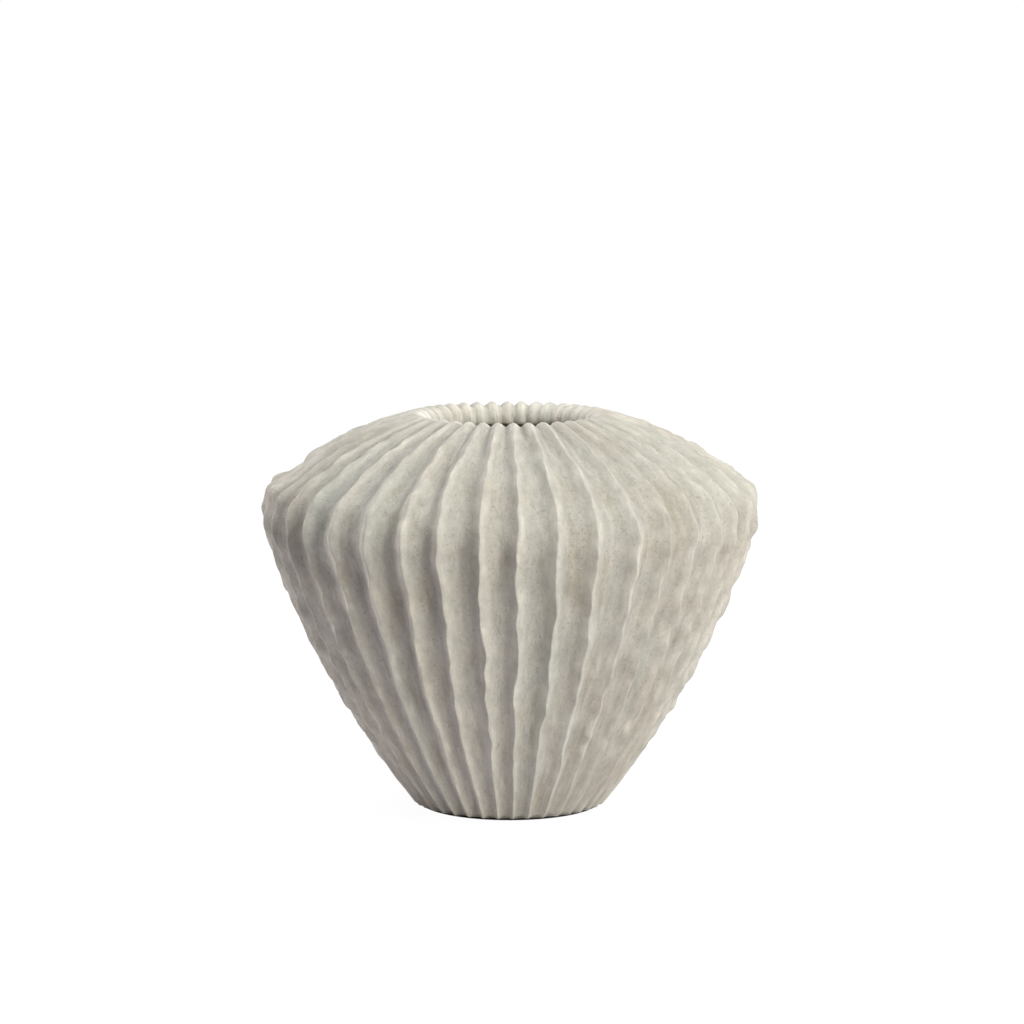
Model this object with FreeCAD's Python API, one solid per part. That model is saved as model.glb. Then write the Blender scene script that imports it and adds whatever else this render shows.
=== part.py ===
import FreeCAD, Part
import math
import os

# A squat ribbed stoneware vase on a thin felt base pad.
# Millimetres, Z up, origin on the axis where the pad meets the table.

# Outside of the vase, measured over the crests of the ribs.
overall_width = 290.0
body_height = 229.0
shoulder_height = 170.0
foot_radius = 57.5
lip_radius = 56.0

# Radii of the rounds that make up the outline, from the foot to the mouth.
foot_round = 3.0
flank_bow = 540.0
shoulder_round = 28.0
dome_bow = 210.0
lip_round = 9.3

# Ribs with hollow flutes between them, deepest at the shoulder.
# quarter_depth_share is how much of its depth a flute has a quarter of the way across.
rib_count = 40
flute_depth = 6.0
quarter_depth_share = 0.74

# Clay walls.
wall = 7.0
floor_thickness = 8.0
inner_corner_round = 12.0
throat_ledge = 1.6

# Felt pad glued under the foot.
pad_thickness = 1.2
pad_inset = 1.6

# Measuring places along each round of the outline.
foot_steps = 2
flank_steps = 10
shoulder_steps = 7
dome_steps = 7
lip_steps = 7
inner_corner_steps = 3
inner_flank_steps = 6
inner_shoulder_steps = 4
inner_dome_steps = 4

axis_foot = FreeCAD.Vector(0, 0, 0)
downward = -math.pi / 2
inward = math.pi
up = FreeCAD.Vector(0, 0, 1)
foot_level = pad_thickness
pitch = 2 * math.pi / rib_count


def place(radius, height):
    """A point of an outline, drawn in the plane through the axis."""
    return FreeCAD.Vector(radius, 0, height)


def direction(angle):
    """The unit vector at an angle above the outward direction."""
    return FreeCAD.Vector(math.cos(angle), 0, math.sin(angle))


def heading(start, end):
    """The angle above the outward direction of the line from start to end."""
    return math.atan2(end.z - start.z, end.x - start.x)


def bow_centre(low, low_round, high, high_round, bow):
    """The centre of the large round that runs smoothly from a low round into a high one."""
    low_reach = bow - low_round
    high_reach = bow - high_round
    span = (high - low).Length
    forward = direction(heading(low, high))
    aside = FreeCAD.Vector(-forward.z, 0, forward.x)
    along = (low_reach ** 2 - high_reach ** 2 + span ** 2) / (2 * span)
    return low + forward * along + aside * math.sqrt(low_reach ** 2 - along ** 2)


def turned(point, angle):
    """A point of the outline, carried round the axis."""
    return FreeCAD.Vector(point.x * math.cos(angle), point.x * math.sin(angle), point.z)


def between(start, end, share):
    return start + (end - start) * share


def arc_points(centre, radius, start, end, steps):
    """Points with their outward angles along one round of an outline, without its last one."""
    for step in range(steps):
        angle = between(start, end, step / steps)
        yield centre + direction(angle) * radius, angle


# Centres of the rounds of the outline.
lip_level = foot_level + body_height - lip_round
foot_centre = place(foot_radius - foot_round, foot_level + foot_round)
shoulder_centre = place(overall_width / 2 - shoulder_round, foot_level + shoulder_height)
lip_centre = place(lip_radius, lip_level)
flank_centre = bow_centre(foot_centre, foot_round, shoulder_centre, shoulder_round, flank_bow)
dome_centre = bow_centre(shoulder_centre, shoulder_round, lip_centre, lip_round, dome_bow)

# Outward angles at which one round passes into the next.
foot_to_flank = heading(flank_centre, foot_centre)
flank_to_shoulder = heading(flank_centre, shoulder_centre)
shoulder_to_dome = heading(dome_centre, shoulder_centre)
dome_to_lip = heading(dome_centre, lip_centre)

# Inside of the vase: its outline keeps a wall behind the deepest flutes.
inset = flute_depth + wall
flute_depth_share = flute_depth / (overall_width / 2)
throat_radius = lip_radius - lip_round
neck_radius = throat_radius * (1 + flute_depth_share) + throat_ledge
inner_foot_radius = foot_radius * (1 - flute_depth_share) - wall
inner_shoulder_round = shoulder_round - inset
inner_dome_round = dome_bow - inset
inner_flank_bow = flank_bow - inset
inner_foot_centre = place(inner_foot_radius - inner_corner_round,
                          foot_level + floor_thickness + inner_corner_round)
inner_flank_centre = bow_centre(inner_foot_centre, inner_corner_round,
                                shoulder_centre, inner_shoulder_round, inner_flank_bow)
neck_angle = math.acos((neck_radius - dome_centre.x) / inner_dome_round)
neck_point = dome_centre + direction(neck_angle) * inner_dome_round


def crest_outline():
    """Points along the crests with their outward angles, from the underside to the throat."""
    rounds = [
        (foot_centre, foot_round, downward, foot_to_flank, foot_steps),
        (flank_centre, flank_bow, foot_to_flank, flank_to_shoulder, flank_steps),
        (shoulder_centre, shoulder_round, flank_to_shoulder, shoulder_to_dome, shoulder_steps),
        (dome_centre, dome_bow, shoulder_to_dome, dome_to_lip, dome_steps),
        (lip_centre, lip_round, dome_to_lip, inward, lip_steps),
    ]
    outline = [station for arc in rounds for station in arc_points(*arc)]
    throat = [(place(throat_radius, height), inward) for height in (lip_level, neck_point.z)]
    return outline + throat


def rail(outline, depth_share):
    """The line behind the crests at a share of the radius, kept so that every strip is flat.

    A strip between two rails is flat where both, drawn on, would meet the axis in one point.
    """
    crest, angle = outline[0]
    points = [crest - place(crest.x * depth_share, 0)]
    for (crest, angle), (next_crest, next_angle) in zip(outline, outline[1:]):
        chord = next_crest - crest
        course = (points[-1] - crest) * chord.x + chord * crest.x
        aside = direction(max(next_angle, 0) + math.pi / 2)
        reach = (next_crest - points[-1]).dot(aside) / course.dot(aside)
        points.append(points[-1] + course * reach)
    return points


def fluted_sections():
    """Closed fluted lines round the vase, each four points to a rib."""
    outline = crest_outline()
    crest = rail(outline, 0)
    quarter = rail(outline, flute_depth_share * quarter_depth_share)
    valley = rail(outline, flute_depth_share)
    return [ring_through(points) for points in zip(crest, quarter, valley, quarter)]


def ring_through(points):
    """The closed line round the axis that passes the given points in turn on every rib."""
    ring = []
    for rib in range(rib_count):
        for number, point in enumerate(points):
            ring.append(turned(point, (rib + number / len(points)) * pitch))
    return Part.makePolygon(ring + ring[:1])


def inner_outline():
    """Points of the inside wall, from the edge of the floor up to the throat."""
    corner_to_flank = heading(inner_flank_centre, inner_foot_centre)
    flank_to_top = heading(inner_flank_centre, shoulder_centre)
    rounds = [
        (inner_foot_centre, inner_corner_round, downward, corner_to_flank, inner_corner_steps),
        (inner_flank_centre, inner_flank_bow, corner_to_flank, flank_to_top, inner_flank_steps),
        (shoulder_centre, inner_shoulder_round, flank_to_top, shoulder_to_dome,
         inner_shoulder_steps),
        (dome_centre, inner_dome_round, shoulder_to_dome, neck_angle, inner_dome_steps),
    ]
    return [point for arc in rounds for point, angle in arc_points(*arc)] + [neck_point]


def flat_strips(sections):
    """The strips of a ruled loft through closed lines, each as a flat face."""
    strips = []
    for strip in Part.makeLoft(sections, False, True).Faces:
        corners = [corner.Point for corner in strip.OuterWire.OrderedVertexes]
        strips.append(Part.Face(Part.makePolygon(corners + corners[:1])))
    return strips


def vase_body():
    """The fluted shell: up the outside, over the lip and down the throat, and the inside wall."""
    outer = fluted_sections()
    inner = [ring_through([point]) for point in inner_outline()]
    ledge = Part.makeFace([inner[-1], outer[-1]], "Part::FaceMakerBullseye")
    ends = [Part.Face(outer[0]), Part.Face(inner[0]), ledge]
    skin = Part.makeCompound(flat_strips(outer) + flat_strips(inner) + ends)
    skin.sewShape()
    return Part.Solid(Part.Shell(skin.Faces))


def base_pad():
    """A disc of felt that shows in the flutes, a little inside the crests."""
    return Part.makeCylinder(foot_radius - foot_round - pad_inset, pad_thickness, axis_foot, up)


def main():
    os.makedirs("parts", exist_ok=True)
    pieces = {"vase_body": vase_body(), "base_pad": base_pad()}
    for name, shape in pieces.items():
        shape.exportStep("parts/" + name + ".step")
        print(name, shape.ShapeType, "valid", shape.isValid(), "closed", shape.isClosed(),
              "volume", round(shape.Volume), "box", shape.BoundBox)


main()
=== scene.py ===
import math

import bpy
import numpy as np
from bpy.props import FloatProperty, FloatVectorProperty, IntProperty, PointerProperty
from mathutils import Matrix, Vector


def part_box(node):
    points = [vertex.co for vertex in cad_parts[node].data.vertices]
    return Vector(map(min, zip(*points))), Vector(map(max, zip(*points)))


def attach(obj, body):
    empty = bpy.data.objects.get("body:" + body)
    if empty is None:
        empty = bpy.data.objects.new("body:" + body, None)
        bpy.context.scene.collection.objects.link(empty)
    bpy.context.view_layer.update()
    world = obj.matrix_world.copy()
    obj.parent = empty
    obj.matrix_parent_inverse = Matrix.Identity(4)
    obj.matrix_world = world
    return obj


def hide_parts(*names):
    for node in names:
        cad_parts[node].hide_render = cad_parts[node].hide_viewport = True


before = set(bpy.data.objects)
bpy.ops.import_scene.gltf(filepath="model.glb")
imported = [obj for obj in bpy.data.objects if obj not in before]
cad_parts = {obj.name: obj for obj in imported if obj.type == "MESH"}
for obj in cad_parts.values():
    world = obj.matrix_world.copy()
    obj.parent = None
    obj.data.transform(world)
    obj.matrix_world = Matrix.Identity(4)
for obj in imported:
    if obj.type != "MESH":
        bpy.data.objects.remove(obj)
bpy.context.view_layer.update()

bl_info = {
    "name": "Fluted stoneware vase",
    "version": (1, 0, 0),
    "blender": (4, 5, 0),
    "location": "View3D > Sidebar > Vase",
    "description": "Builds a hand fluted stoneware vase on a felt pad in a white studio",
    "category": "Add Mesh",
}

# Lengths are in metres, where nothing else is said.

# Rounds of the outline from the foot to the mouth, and of the inside.
FOOT_ROUND = 0.003
FLANK_BOW = 0.540
SHOULDER_ROUND = 0.028
DOME_BOW = 0.210
LIP_ROUND = 0.0093
FLOOR_THICKNESS = 0.008
INNER_CORNER_ROUND = 0.012
INNER_FLOOR_RADIUS = 0.037
NECK_LEDGE = 0.006

# The row on the underside, inside the foot: its radius and how much of the flutes it has.
UNDERSIDE_RADIUS = 0.046
UNDERSIDE_SHARE = 0.3

# Rows down the throat: drop, how much wider, and how much of the flutes is left.
THROAT_ROWS = ((0, 0, 1.0), (0.0015, 0.0001, 0.9), (0.0028, 0.0006, 0.7),
               (0.0037, 0.0017, 0.45), (0.0042, 0.0034, 0.2))

# Steps along the rounds: foot, flank, shoulder, dome and lip, and back down the inside.
OUTER_STEPS = (5, 73, 16, 36, 14)
INNER_STEPS = (7, 5, 10, 4)

# Where the columns of points stand across a flute, from one crest (0) towards the next (1).
RIB_COLUMNS = np.array([0, 0.018, 0.05, 0.11, 0.20, 0.31, 0.42, 0.5,
                        0.58, 0.69, 0.80, 0.89, 0.95, 0.982])

# Length of the waves along a rib at the foot, and how much longer they are at the shoulder.
WAVE_LENGTH = 0.017
WAVE_LENGTHENING = 0.007

# How much calmer the waves are on the front ribs, and over how many ribs that fades.
FRONT_CALM = 0.45
FRONT_SPREAD = 5

# Where ribs seen from the front stand off an even spacing, in degrees, by the rib's number.
VISIBLE_RIB_SHIFTS = {
    23: -1.0, 24: -1.2, 25: -0.9, 26: -0.4, 27: 0.0, 28: 0.0, 29: 0.1, 30: -0.2,
    31: -0.3, 32: 0.2, 33: 0.5, 34: 0.4, 35: 0.0, 36: -0.3, 37: -1.0,
}

# Fuller and flatter places of the shoulder: rib, half its spread in ribs, height, half its
# height, and how far it stands out.
SHOULDER_LUMPS = (
    (0.0, 2.2, 0.183, 0.007, 0.0034), (0.0, 1.8, 0.151, 0.006, 0.0022),
    (20.0, 2.0, 0.198, 0.006, -0.0032), (20.0, 2.0, 0.187, 0.005, 0.0024),
)

# How deep the flutes are at these heights, as a share of their depth at the same radius.
DEPTH_HEIGHTS = (0.02, 0.06, 0.10, 0.15, 0.175, 0.20)
DEPTH_SHARES = (0.85, 0.90, 1.06, 1.0, 1.08, 0.9)

# Section of a flute: how blunt its crests are, and how far down its sides stay straight.
CREST_BLUNTNESS = 0.025
STRAIGHT_SIDE = 0.2

# The photograph's view: turned a little from the front, so that a crest stays on each axis.
VIEW_TURN = math.radians(2)
VIEW_TILT = math.radians(7.92)
VIEW_SWING = math.radians(-0.035)
VIEW_DISTANCE = 2.192
VIEW_HEIGHT = 0.4765

# The camera's sensor and focal length, in millimetres.
SENSOR_WIDTH = 36
LENS = 133.66

# Round soft lamps: azimuth from the front and elevation in degrees, power in watts, colour.
LAMPS = (
    ("key low", 32, 15, 30.5, (1.0, 0.99, 0.82)),
    ("key high", 40, 40, 41, (0.94, 0.96, 1.0)),
    ("right side", 95, 15, 12, (1.0, 0.97, 1.0)),
    ("right back", 150, 10, 73, (0.90, 0.96, 1.0)),
    ("left side", -110, 10, 42, (1.0, 0.95, 0.96)),
    ("left top", -110, 65, 34, (0.98, 1.0, 1.0)),
    ("back", 180, 40, 6, (1.0, 1.0, 0.9)),
)
LAMP_WIDTH = 1.2
LAMP_DISTANCE = 2.4
LAMP_AIM = Vector((0, 0, 0.11))

# The floor, the share of plain white that the camera sees in it, and the fill from all around.
FLOOR_RADIUS = 2.0
FLOOR_WHITE = 0.945
WORLD_FILL = 0.02

# How far the felt stays inside the disc of the CAD, and the width of its bevelled edge.
PAD_CLEARANCE = 0.0002
PAD_EDGE = 0.0003


class VaseSizes(bpy.types.PropertyGroup):
    """Sizes of the vase over the crests of its ribs."""
    width: FloatProperty(
        name="Width", description="Across the crests at the shoulder",
        default=0.2898, unit="LENGTH")
    height: FloatProperty(
        name="Height", description="From the table to the crests of the lip",
        default=0.23018, unit="LENGTH")
    shoulder_height: FloatProperty(
        name="Shoulder height", description="From the table to the widest place",
        default=0.1712, unit="LENGTH")
    foot_radius: FloatProperty(
        name="Foot radius", description="To the crests, above the round of the foot",
        default=0.0575, unit="LENGTH")
    lip_radius: FloatProperty(
        name="Lip radius", description="To the top of the lip",
        default=0.056, unit="LENGTH")
    wall: FloatProperty(
        name="Wall", description="From the crests to the inside wall",
        default=0.013, unit="LENGTH")
    rib_count: IntProperty(name="Ribs", description="Ribs round the vase", default=40, min=8)
    flute_depth: FloatProperty(
        name="Flute depth", description="From crest to valley at the shoulder",
        default=0.0062, unit="LENGTH")
    wave_depth: FloatProperty(
        name="Wave depth", description="How far the crests rise and fall along a rib",
        default=0.0016, unit="LENGTH")
    wave_swing: FloatProperty(
        name="Wave swing", description="How far the crests swing to each side",
        default=0.0012, unit="LENGTH")
    pad_thickness: FloatProperty(
        name="Pad thickness", description="Felt under the foot",
        default=0.0012, unit="LENGTH")


class VaseColours(bpy.types.PropertyGroup):
    """Colours of the clay and the felt."""
    clay: FloatVectorProperty(
        name="Clay", description="Dry unglazed stoneware", subtype="COLOR",
        default=(0.482, 0.458, 0.408))
    clay_warm: FloatVectorProperty(
        name="Warm clay", description="Where the clay fired warmer", subtype="COLOR",
        default=(0.415, 0.37, 0.31))
    clay_cool: FloatVectorProperty(
        name="Cool clay", description="Where the clay fired cooler", subtype="COLOR",
        default=(0.425, 0.43, 0.385))
    # Brown stain, which also stands as painted shade laid into the flutes.
    flute_stain_and_shade: FloatVectorProperty(
        name="Stains", description="Soft brown stains in the flutes", subtype="COLOR",
        default=(0.335, 0.295, 0.22))
    speck: FloatVectorProperty(
        name="Specks", description="Dark grains in the clay", subtype="COLOR",
        default=(0.16, 0.13, 0.10))
    felt: FloatVectorProperty(
        name="Felt", description="Charcoal felt", subtype="COLOR",
        default=(0.018, 0.017, 0.016))


# The outline of the pot

def direction(angle):
    """The unit vector at an angle above the outward direction."""
    return Vector((math.cos(angle), math.sin(angle)))


def heading(start, end):
    """The angle above the outward direction of the line from start to end."""
    return math.atan2(end.y - start.y, end.x - start.x)


def bow_centre(low, low_round, high, high_round, bow):
    """The centre of the large round that runs smoothly from a low round into a high one."""
    low_reach = bow - low_round
    high_reach = bow - high_round
    span = (high - low).length
    forward = (high - low) / span
    aside = Vector((-forward.y, forward.x))
    along = (low_reach ** 2 - high_reach ** 2 + span ** 2) / (2 * span)
    return low + forward * along + aside * math.sqrt(low_reach ** 2 - along ** 2)


def arc_rows(rounds, turns, steps, share):
    """Rows along rounds that run into each other at the given turns, without the last one."""
    for (centre, radius), start, end, count in zip(rounds, turns, turns[1:], steps):
        for step in range(count):
            angle = start + (end - start) * step / count
            point = centre + direction(angle) * radius
            yield point.x, point.y, angle, share


def pot_outline(sizes):
    """Rows of the pot from the middle of the underside, over the lip, to the middle of the floor.

    Each row is (radius, height, outward angle, how much of the flutes it has).
    """
    down = -math.pi / 2
    foot = Vector((sizes.foot_radius - FOOT_ROUND, sizes.pad_thickness + FOOT_ROUND))
    shoulder = Vector((sizes.width / 2 - SHOULDER_ROUND, sizes.shoulder_height))
    lip = Vector((sizes.lip_radius, sizes.height - LIP_ROUND))
    flank = bow_centre(foot, FOOT_ROUND, shoulder, SHOULDER_ROUND, FLANK_BOW)
    dome = bow_centre(shoulder, SHOULDER_ROUND, lip, LIP_ROUND, DOME_BOW)
    rounds = ((foot, FOOT_ROUND), (flank, FLANK_BOW), (shoulder, SHOULDER_ROUND),
              (dome, DOME_BOW), (lip, LIP_ROUND))
    turns = (down, heading(flank, foot), heading(flank, shoulder), heading(dome, shoulder),
             heading(dome, lip), math.pi)
    rows = [(0.0, sizes.pad_thickness, down, 0.0),
            (UNDERSIDE_RADIUS, sizes.pad_thickness, down, UNDERSIDE_SHARE)]
    rows.extend(arc_rows(rounds, turns, OUTER_STEPS, 1.0))
    throat = lip.x - LIP_ROUND
    for drop, widen, share in THROAT_ROWS:
        rows.append((throat + widen, lip.y - drop, math.pi, share))

    floor = sizes.pad_thickness + FLOOR_THICKNESS
    corner = Vector((INNER_FLOOR_RADIUS, floor + INNER_CORNER_ROUND))
    inner_shoulder = SHOULDER_ROUND - sizes.wall
    inner_flank_bow = FLANK_BOW - sizes.wall
    inner_dome_bow = DOME_BOW - sizes.wall
    inner_flank = bow_centre(corner, INNER_CORNER_ROUND, shoulder, inner_shoulder, inner_flank_bow)
    neck = math.acos((throat + NECK_LEDGE - dome.x) / inner_dome_bow)
    rounds = ((dome, inner_dome_bow), (shoulder, inner_shoulder), (inner_flank, inner_flank_bow),
              (corner, INNER_CORNER_ROUND))
    turns = (neck, heading(dome, shoulder), heading(inner_flank, shoulder),
             heading(inner_flank, corner), down)
    rows.extend(arc_rows(rounds, turns, INNER_STEPS, 0.0))
    return rows + [(corner.x, floor, down, 0.0), (0.0, floor, down, 0.0)]


def lengths_along(radius, height):
    """The distance of each row from the first one, along the outline."""
    return np.concatenate([[0], np.cumsum(np.hypot(np.diff(radius), np.diff(height)))])


# Helpers for modelling

def clear_selection():
    """Leaves edit mode and selects nothing."""
    if bpy.context.object and bpy.context.object.mode != "OBJECT":
        bpy.ops.object.mode_set(mode="OBJECT")
    bpy.ops.object.select_all(action="DESELECT")


def finish_piece(piece, name, node, material):
    """Names a piece, gives it its material, hangs it under the root body and hides the CAD node
    that it stands for.
    """
    piece.name = name
    piece.data.name = name
    piece.data.materials.clear()
    piece.data.materials.append(material)
    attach(piece, "root")
    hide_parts(node)


def throw_pot(rows, steps):
    """A smooth pot: the outline is drawn point by point and spun round the axis."""
    clear_selection()
    bpy.ops.mesh.primitive_plane_add(size=0.001)
    pot = bpy.context.object
    bpy.ops.object.mode_set(mode="EDIT")
    bpy.ops.mesh.select_all(action="SELECT")
    bpy.ops.mesh.merge(type="CENTER")
    bpy.ops.transform.translate(value=(rows[0][0], 0, rows[0][1]))
    for (radius, height, _, _), (next_radius, next_height, _, _) in zip(rows, rows[1:]):
        bpy.ops.mesh.extrude_region_move(TRANSFORM_OT_translate={
            "value": (next_radius - radius, 0, next_height - height)})
    bpy.ops.mesh.select_all(action="SELECT")
    bpy.ops.mesh.spin(steps=steps, angle=2 * math.pi, center=(0, 0, 0), axis=(0, 0, 1))
    bpy.ops.mesh.select_all(action="SELECT")
    bpy.ops.mesh.remove_doubles(threshold=0.00001)
    bpy.ops.mesh.normals_make_consistent(inside=False)
    bpy.ops.object.mode_set(mode="OBJECT")
    return pot


def smooth_noise(seed, places, count, spacing):
    """Smooth random curves, one for each of count ribs, that turn about every spacing."""
    chance = np.random.RandomState(seed)
    knots = int(places.max() / spacing) + 4
    values = chance.uniform(-1, 1, (count, knots))
    at = places / spacing
    left = np.floor(at).astype(int)
    share = at - left
    share = share * share * (3 - 2 * share)
    return values[:, left] * (1 - share) + values[:, left + 1] * share


def rib_waves(rows, sizes):
    """How far the crest of each rib rises and swings aside, and how deep each valley is, by row."""
    count = sizes.rib_count
    radius, height, _, outer = np.array(rows).T
    along = lengths_along(radius, height)
    length = WAVE_LENGTH + WAVE_LENGTHENING * np.clip((radius - 0.055) / 0.075, 0, 1)
    phase = np.concatenate([[0], np.cumsum(np.diff(along) / length[1:])])
    start = np.random.RandomState(7).uniform(0, 1, (count, 1))
    drift = smooth_noise(11, phase, count, 2.6) * 0.16
    turn = 2 * math.pi * (phase + start + drift)
    strength = 1 + 0.4 * smooth_noise(5, phase, count, 1.7)
    wave = (0.75 * np.sin(turn) + 0.2 * np.sin(2 * turn + 0.6)) * strength
    wave += 0.55 * smooth_noise(17, along, count, 0.009)
    # The ribs at the front, three quarters of the way round, were carved with a calmer hand.
    rib = np.arange(count)[:, None]
    hand = 1 - FRONT_CALM * np.exp(-((rib - count * 0.75) / FRONT_SPREAD) ** 2)
    # The widest crests are held back, so that no wave passes the width of the vase.
    held = np.clip((radius - 0.130) / 0.012, 0, 1)
    fine = smooth_noise(13, along, count, 0.0055)
    rise = 0.5 * sizes.wave_depth * ((wave + 0.6 * fine) * hand - 1.3 * held)
    swing = sizes.wave_swing * (0.35 * np.sin(turn + 1.3) * strength * hand
                                + smooth_noise(23, along, count, 0.030)
                                + 0.45 * smooth_noise(29, along, count, 0.010)
                                + 0.15 * smooth_noise(37, along, count, 0.004))
    valley = 1 + 0.16 * smooth_noise(31, along, count, 0.016)
    for number, spread, level, half_level, out in SHOULDER_LUMPS:
        apart = (rib - number + count / 2) % count - count / 2
        rise += out * np.exp(-(apart / spread) ** 2 - ((height - level) / half_level) ** 2)
    # Everything is calmer near the lip and the foot, and the top of the lip doesn't rise.
    near_lip = np.clip((radius - 0.060) / 0.030, 0.3, 1)
    near_foot = np.clip(along / 0.050 - 0.9, 0.3, 1)
    calm = near_lip * near_foot * outer
    rise = rise * np.clip((0.2285 - height) / 0.006, 0, 1)
    return rise * calm, swing * calm, 1 + (valley - 1) * calm


def nearest_rows(radius, height, outline):
    """The number of the outline's row that each point lies on, a block of points at a time."""
    block_size = 20000
    row = np.empty(len(radius), int)
    for first in range(0, len(radius), block_size):
        block = slice(first, first + block_size)
        gap = ((radius[block, None] - outline[None, :, 0]) ** 2
               + (height[block, None] - outline[None, :, 1]) ** 2)
        row[block] = gap.argmin(1)
    return row


def flute_section(across, on_lip):
    """Depth across a flute, from 0 at a crest to 1 in the valley.

    It is a round hollow between nearly sharp crests, and on the lip a soft ridge with a narrow
    valley between ridges.
    """
    half = 1 - np.abs(2 * across - 1)
    drawn = np.sqrt(half ** 2 + CREST_BLUNTNESS ** 2) - CREST_BLUNTNESS
    drawn = drawn / (math.sqrt(1 + CREST_BLUNTNESS ** 2) - CREST_BLUNTNESS)
    hollow = drawn - np.clip(drawn - STRAIGHT_SIDE, 0, 1) ** 2 / (2 * (1 - STRAIGHT_SIDE))
    hollow = hollow * 2 / (1 + STRAIGHT_SIDE)
    ridge = 1 - np.cos(half * math.pi / 2) ** 1.2
    return hollow * (1 - on_lip) + ridge * on_lip


def rib_places(rib, across, row, swing, reach, sizes):
    """The angle round the axis of each point, on unevenly spaced ribs that swing aside."""
    ribs = sizes.rib_count
    pitch = 2 * math.pi / ribs
    next_rib = (rib + 1) % ribs
    uneven = np.random.RandomState(3).uniform(-0.05, 0.05, ribs)
    for number, degrees in VISIBLE_RIB_SHIFTS.items():
        uneven[number] = math.radians(degrees) / pitch
    place = ((rib + across) + uneven[rib] * (1 - across) + uneven[next_rib] * across) * pitch
    swing_here = swing[rib, row] / reach
    swing_next = swing[next_rib, row] / reach
    return place + (swing_here * (1 - across) + swing_next * across)


def rubbed_lip(place, outward, fluted):
    """How much of the ribs is left inside the lip, nearly rubbed away at the back on the right."""
    inner_lip = np.clip((outward - math.pi / 2) / 0.9, 0, 1) * (fluted > 0)
    bearing = np.degrees(place % (2 * math.pi))
    rubbed = np.clip((bearing - 14) / 10, 0, 1) * np.clip((80 - bearing) / 14, 0, 1)
    return 1 - inner_lip * (0.35 + 0.45 * rubbed)


def carve_ribs(pot, rows, sizes):
    """Moves the points of the smooth pot so that it has waved ribs with hollow flutes."""
    mesh = pot.data
    points = np.empty(len(mesh.vertices) * 3)
    mesh.vertices.foreach_get("co", points)
    points = points.reshape(-1, 3)
    radius = np.hypot(points[:, 0], points[:, 1])
    outline = np.array(rows)
    row = nearest_rows(radius, points[:, 2], outline)
    row_radius, level, outward, fluted = outline[row].T
    reach = np.maximum(row_radius, 0.001)

    ribs, columns = sizes.rib_count, len(RIB_COLUMNS)
    pitch = 2 * math.pi / ribs
    turn = np.arctan2(points[:, 1], points[:, 0]) / pitch
    column = np.rint(turn * columns).astype(int) % (ribs * columns)
    rib = column // columns
    next_rib = (rib + 1) % ribs
    across = RIB_COLUMNS[column % columns]
    rise, swing, valley = rib_waves(rows, sizes)
    place = rib_places(rib, across, row, swing, reach, sizes)
    inside = fluted == 0
    place[inside] = (column[inside] / columns) * pitch

    on_lip = np.clip((0.085 - reach) / 0.025, 0, 1) * (level > 0.19)
    section = flute_section(across, on_lip)
    depth = sizes.flute_depth * reach / (sizes.width / 2)
    depth = depth * (1 + 0.25 * on_lip) * np.interp(level, DEPTH_HEIGHTS, DEPTH_SHARES)
    # The rise of a crest fades out before the valleys on both sides of it.
    own = np.clip(1 - 2.6 * across, 0, 1) ** 1.4
    others = np.clip(2.6 * across - 1.6, 0, 1) ** 1.4
    raised = rise[rib, row] * own + rise[next_rib, row] * others
    faint = rubbed_lip(place, outward, fluted)
    inward = (depth * section * valley[rib, row] * faint - raised) * fluted
    new_radius = radius - np.cos(outward) * inward
    new_height = points[:, 2] - np.sin(outward) * inward
    # The underside stays flat on the felt and only takes the scalloped edge.
    under = (level < sizes.pad_thickness + 0.0001) & (outward < -1.5)
    new_radius[under] = radius[under] - (inward * np.clip((radius - 0.03) / 0.02, 0, 1))[under]
    new_height[under] = points[under, 2]
    carved = np.column_stack([new_radius * np.cos(place), new_radius * np.sin(place), new_height])
    mesh.vertices.foreach_set("co", carved.astype(np.float32).ravel())

    # For the material: 1 on a crest and 0 in a valley, with the plain inside in between.
    crest = np.where(inside, 0.4, 1 - section)
    layer = mesh.attributes.new("crest", "FLOAT", "POINT")
    layer.data.foreach_set("value", crest.astype(np.float32))
    # Places as if the clay was rolled out to a tube, for marks that run along the ribs.
    tube_radius = 0.1
    along = lengths_along(outline[:, 0], outline[:, 1])[row]
    tube = np.column_stack([tube_radius * np.cos(place), tube_radius * np.sin(place), along])
    layer = mesh.attributes.new("tube", "FLOAT_VECTOR", "POINT")
    layer.data.foreach_set("vector", tube.astype(np.float32).ravel())
    mesh.update()


# Materials

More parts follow.
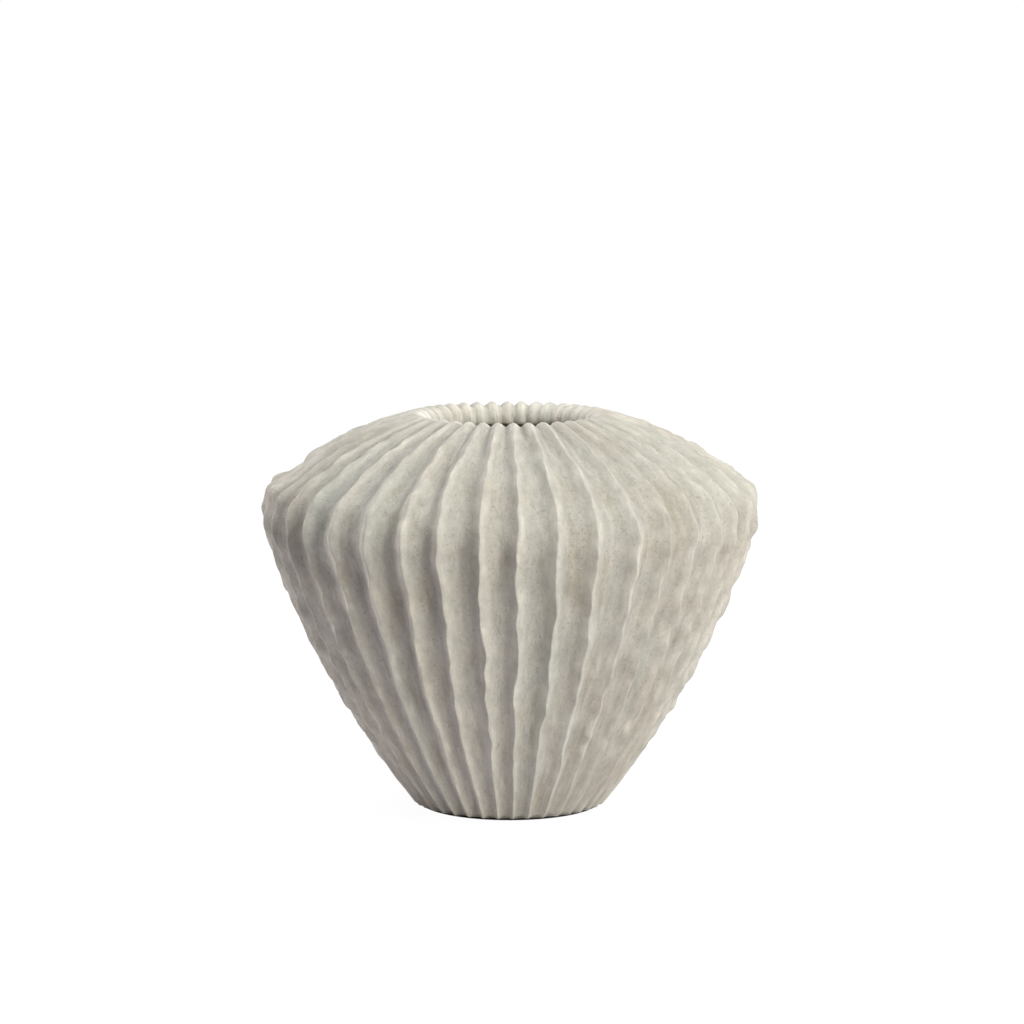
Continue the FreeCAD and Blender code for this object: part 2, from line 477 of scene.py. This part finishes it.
class Nodes:
    """A short way to add nodes to a material and join them."""

    def __init__(self, name):
        self.material = bpy.data.materials.new(name)
        self.material.use_nodes = True
        self.tree = self.material.node_tree
        self.tree.nodes.clear()

    def add(self, kind, inputs=None, **settings):
        node = self.tree.nodes.new(kind)
        for key, value in settings.items():
            setattr(node, key, value)
        for key, value in (inputs or {}).items():
            self.put(node.inputs[key], value)
        return node

    def put(self, socket, value):
        """Joins a socket to another, or sets its value; a colour may be given without alpha."""
        if isinstance(value, bpy.types.NodeSocket):
            self.tree.links.new(value, socket)
        elif socket.type == "RGBA":
            socket.default_value = (*value, 1)
        else:
            socket.default_value = value

    def noise(self, vector, scale, detail, roughness):
        node = self.add("ShaderNodeTexNoise", {
            "Vector": vector, "Scale": scale, "Detail": detail, "Roughness": roughness})
        return node.outputs["Fac"]

    def band(self, value, low, high, to_low=0.0, to_high=1.0):
        node = self.add("ShaderNodeMapRange", {
            "Value": value, "From Min": low, "From Max": high,
            "To Min": to_low, "To Max": to_high}, interpolation_type="SMOOTHSTEP")
        return node.outputs["Result"]

    def maths(self, kind, first, second):
        return self.add("ShaderNodeMath", {0: first, 1: second}, operation=kind).outputs[0]

    def stretched(self, vector, factors):
        node = self.add("ShaderNodeVectorMath", {0: vector, 1: factors}, operation="MULTIPLY")
        return node.outputs["Vector"]

    def length(self, vector):
        node = self.add("ShaderNodeVectorMath", {0: vector}, operation="LENGTH")
        return node.outputs["Value"]

    def mix(self, share, first, second, kind="MIX"):
        node = self.add("ShaderNodeMix", data_type="RGBA", blend_type=kind)
        for name, value in (("Factor", share), ("A", first), ("B", second)):
            self.put(node.inputs[name], value)
        return node.outputs["Result"]

    def bump(self, height, strength, distance, inputs=None):
        node = self.add("ShaderNodeBump", {
            "Height": height, "Strength": strength, "Distance": distance, **(inputs or {})})
        return node.outputs["Normal"]


def stoneware(colours):
    """Dry, sandy, unglazed clay: soft warm and cool patches, streaks, specks and pinholes."""
    clay = Nodes("stoneware")
    place = clay.add("ShaderNodeTexCoord").outputs["Object"]
    crest = clay.add("ShaderNodeAttribute", attribute_name="crest").outputs["Fac"]
    tube = clay.add("ShaderNodeAttribute", attribute_name="tube").outputs["Vector"]
    streaked = clay.stretched(tube, (1.0, 1.0, 0.14))
    dragged = clay.stretched(tube, (1.0, 1.0, 0.4))
    warm = clay.band(clay.noise(place, 24, 4, 0.6), 0.42, 0.66, 0, 0.4)
    cool = clay.band(clay.noise(streaked, 38, 3, 0.6), 0.50, 0.70, 0, 0.6)
    colour = clay.mix(warm, colours.clay, colours.clay_warm)
    colour = clay.mix(cool, colour, colours.clay_cool)
    # Brown stains, painted shade and more grains down in the flutes, and crests paler from rubbing
    # and from a painted highlight.
    flute = clay.band(crest, 0.15, 0.75, 1.0, 0.0)
    stain_and_shade = clay.band(clay.noise(dragged, 75, 5, 0.65), 0.48, 0.72, 0, 0.55)
    colour = clay.mix(clay.maths("MULTIPLY", stain_and_shade, flute), colour, colours.flute_stain_and_shade)
    # Crests made paler: partly rubbed clay, partly a painted highlight where the crest edges catch
    # the light.
    rubbed = clay.maths("MULTIPLY", clay.band(crest, 0.35, 0.8),
                        clay.band(clay.noise(place, 75, 3, 0.6), 0.36, 0.62, 0.02, 0.12))
    # The clay in the throat is painted paler: painted light on the inside of the lip.
    reach = clay.length(clay.stretched(place, (1.0, 1.0, 0.0)))
    height = clay.add("ShaderNodeSeparateXYZ", {0: place}).outputs["Z"]
    throat_painted_light = clay.maths("MULTIPLY", clay.band(reach, 0.050, 0.057, 0.26, 0.0),
                         clay.band(height, 0.19, 0.21))
    mottled = clay.band(clay.noise(dragged, 260, 6, 0.8), 0.3, 0.7, 0.89, 1.10)
    # Painted shade and highlight: the flutes a little darker and the crests a little lighter, by
    # the crest attribute.
    flute_shade_crest_light = clay.band(crest, 0.0, 0.7, 0.94, 1.03)
    shade = clay.band(clay.noise(streaked, 300, 3, 0.6), 0.35, 0.75, 0.89, 1.07)
    for part in (mottled, flute_shade_crest_light, clay.maths("ADD", rubbed, 1.0), clay.maths("ADD", throat_painted_light, 1.0)):
        shade = clay.maths("MULTIPLY", shade, part)
    grey = clay.add("ShaderNodeCombineColor", {"Red": shade, "Green": shade, "Blue": shade})
    colour = clay.mix(1.0, colour, grey.outputs["Color"], "MULTIPLY")
    speck = clay.band(clay.noise(place, 1700, 2, 0.5), 0.69, 0.75, 0, 0.5)
    grit = clay.band(clay.noise(dragged, 1100, 3, 0.65), 0.58, 0.68, 0, 0.42)
    speck = clay.maths("MAXIMUM", speck, clay.maths("MULTIPLY", grit, flute))
    colour = clay.mix(speck, colour, colours.speck)
    # Sand grains, pinholes and the soft marks of the tool.
    sandy = clay.bump(clay.noise(place, 1500, 3, 0.65), 0.45, 0.0004)
    pinholes = clay.band(clay.noise(place, 620, 2, 0.5), 0.29, 0.37)
    pitted = clay.bump(pinholes, 0.6, 0.0005, {"Normal": sandy})
    tooled = clay.bump(clay.noise(place, 230, 4, 0.6), 0.34, 0.0012, {"Normal": pitted})
    shader = clay.add("ShaderNodeBsdfPrincipled", {
        "Base Color": colour, "Roughness": 0.88, "Specular IOR Level": 0.3, "Normal": tooled})
    clay.add("ShaderNodeOutputMaterial", {"Surface": shader.outputs["BSDF"]})
    return clay.material


def felt(colours):
    """Dense charcoal felt with a little lighter fluff."""
    wool = Nodes("felt")
    place = wool.add("ShaderNodeTexCoord").outputs["Object"]
    fluff = wool.band(wool.noise(place, 1400, 4, 0.7), 0.35, 0.75)
    light = tuple(2.0 * part for part in colours.felt)
    shader = wool.add("ShaderNodeBsdfPrincipled", {
        "Base Color": wool.mix(fluff, colours.felt, light), "Roughness": 0.95,
        "Specular IOR Level": 0.1, "Sheen Weight": 0.25, "Sheen Roughness": 0.5,
        "Normal": wool.bump(fluff, 0.5, 0.0004)})
    wool.add("ShaderNodeOutputMaterial", {"Surface": shader.outputs["BSDF"]})
    return wool.material


def white_floor():
    """White paper: white to the camera, with what is left of the object's soft shadow.

    To the object it is paler near the foot than far away.
    """
    paper = Nodes("white_floor")
    camera = paper.add("ShaderNodeLightPath").outputs["Is Camera Ray"]
    away = paper.length(paper.add("ShaderNodeTexCoord").outputs["Object"])
    far = paper.band(away, 0.25, 0.5)
    tone = paper.mix(far, (0.71, 0.68, 0.73), (0.23, 0.22, 0.24))
    plain = paper.add("ShaderNodeBsdfDiffuse", {"Color": tone})
    white = paper.band(away, 0.2, 0.45, 1.02, 1.07)
    bright = paper.add("ShaderNodeEmission", {"Color": (1, 1, 1), "Strength": white})
    share = paper.maths("MULTIPLY", camera, FLOOR_WHITE)
    mixed = paper.add("ShaderNodeMixShader", {0: share, 1: plain.outputs[0], 2: bright.outputs[0]})
    paper.add("ShaderNodeOutputMaterial", {"Surface": mixed.outputs[0]})
    return paper.material


# The studio

def add_lamp(name, azimuth, elevation, power, colour):
    """A round soft lamp that shines at the middle of the vase."""
    data = bpy.data.lights.new(name, "AREA")
    data.shape = "DISK"
    data.size = LAMP_WIDTH
    data.energy = power
    data.color = colour
    lamp = bpy.data.objects.new(name, data)
    bpy.context.collection.objects.link(lamp)
    turn, rise = math.radians(azimuth), math.radians(elevation)
    towards = Vector((math.sin(turn) * math.cos(rise), -math.cos(turn) * math.cos(rise),
                      math.sin(rise)))
    lamp.location = LAMP_AIM + towards * LAMP_DISTANCE
    lamp.rotation_euler = towards.to_track_quat("Z", "Y").to_euler()


def white_world(scene):
    """White to the camera, and a faint even fill to the object."""
    world = bpy.data.worlds.new("studio")
    scene.world = world
    world.use_nodes = True
    tree = world.node_tree
    tree.nodes.clear()
    path = tree.nodes.new("ShaderNodeLightPath")
    level = tree.nodes.new("ShaderNodeMapRange")
    level.inputs["To Min"].default_value = WORLD_FILL
    level.inputs["To Max"].default_value = 1.0
    back = tree.nodes.new("ShaderNodeBackground")
    back.inputs["Color"].default_value = (1, 1, 1, 1)
    out = tree.nodes.new("ShaderNodeOutputWorld")
    tree.links.new(path.outputs["Is Camera Ray"], level.inputs["Value"])
    tree.links.new(level.outputs["Result"], back.inputs["Strength"])
    tree.links.new(back.outputs["Background"], out.inputs["Surface"])


def aim_camera(scene):
    """The photograph's view: from about 2.2 m away, looking down 8 degrees."""
    data = bpy.data.cameras.new("camera")
    data.sensor_width = SENSOR_WIDTH
    data.lens = LENS
    data.clip_start = 0.1
    data.clip_end = 50
    camera = bpy.data.objects.new("camera", data)
    scene.collection.objects.link(camera)
    camera.location = (-VIEW_DISTANCE * math.sin(VIEW_TURN),
                       -VIEW_DISTANCE * math.cos(VIEW_TURN), VIEW_HEIGHT)
    camera.rotation_euler = (math.pi / 2 - VIEW_TILT, 0, VIEW_SWING - VIEW_TURN)
    scene.camera = camera
    scene.view_settings.view_transform = "Standard"


# Operators and panel

class VASE_OT_body(bpy.types.Operator):
    """Throw the pot and carve its ribs"""
    bl_idname = "vase.body"
    bl_label = "Fluted body"

    def execute(self, context):
        sizes = context.scene.vase_sizes
        rows = pot_outline(sizes)
        pot = throw_pot(rows, sizes.rib_count * len(RIB_COLUMNS))
        carve_ribs(pot, rows, sizes)
        clear_selection()
        pot.select_set(True)
        context.view_layer.objects.active = pot
        bpy.ops.object.shade_smooth()
        finish_piece(pot, "fluted_body", "vase_body",
                     stoneware(context.scene.vase_colours))
        return {"FINISHED"}


class VASE_OT_pad(bpy.types.Operator):
    """Cut the felt disc that is glued under the foot"""
    bl_idname = "vase.pad"
    bl_label = "Felt pad"

    def execute(self, context):
        low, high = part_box("base_pad")
        clear_selection()
        bpy.ops.mesh.primitive_cylinder_add(
            vertices=180, radius=(high.x - low.x) / 2 - PAD_CLEARANCE, depth=high.z - low.z,
            location=(0, 0, (high.z + low.z) / 2), end_fill_type="NGON")
        pad = context.object
        bpy.ops.object.transform_apply(location=True)
        bevel = pad.modifiers.new("cut edge", "BEVEL")
        bevel.width = PAD_EDGE
        bevel.segments = 2
        bpy.ops.object.modifier_apply(modifier=bevel.name)
        bpy.ops.object.shade_smooth_by_angle(angle=math.radians(40))
        finish_piece(pad, "felt_pad", "base_pad", felt(context.scene.vase_colours))
        return {"FINISHED"}


class VASE_OT_studio(bpy.types.Operator):
    """Set up the white floor, the soft lights and the camera"""
    bl_idname = "vase.studio"
    bl_label = "White studio"

    def execute(self, context):
        clear_selection()
        bpy.ops.mesh.primitive_circle_add(vertices=96, radius=FLOOR_RADIUS, fill_type="NGON")
        floor = context.object
        floor.name = "floor"
        bpy.ops.object.transform_apply(location=True)
        floor.data.materials.append(white_floor())
        for lamp in LAMPS:
            add_lamp(*lamp)
        white_world(context.scene)
        aim_camera(context.scene)
        return {"FINISHED"}


class VASE_PT_panel(bpy.types.Panel):
    """Sizes, colours and steps of the vase"""
    bl_label = "Vase"
    bl_idname = "VASE_PT_panel"
    bl_space_type = "VIEW_3D"
    bl_region_type = "UI"
    bl_category = "Vase"

    def draw(self, context):
        layout = self.layout
        for group in (context.scene.vase_sizes, context.scene.vase_colours):
            column = layout.column()
            for name in group.__annotations__:
                column.prop(group, name)
        for operator in (VASE_OT_body, VASE_OT_pad, VASE_OT_studio):
            layout.operator(operator.bl_idname)


CLASSES = (VaseSizes, VaseColours, VASE_OT_body, VASE_OT_pad, VASE_OT_studio, VASE_PT_panel)


def register():
    for cls in CLASSES:
        bpy.utils.register_class(cls)
    bpy.types.Scene.vase_sizes = PointerProperty(type=VaseSizes)
    bpy.types.Scene.vase_colours = PointerProperty(type=VaseColours)


def unregister():
    del bpy.types.Scene.vase_colours
    del bpy.types.Scene.vase_sizes
    for cls in reversed(CLASSES):
        bpy.utils.unregister_class(cls)


def main():
    register()
    bpy.ops.vase.body()
    bpy.ops.vase.pad()
    bpy.ops.vase.studio()


if __name__ == "__main__":
    main()
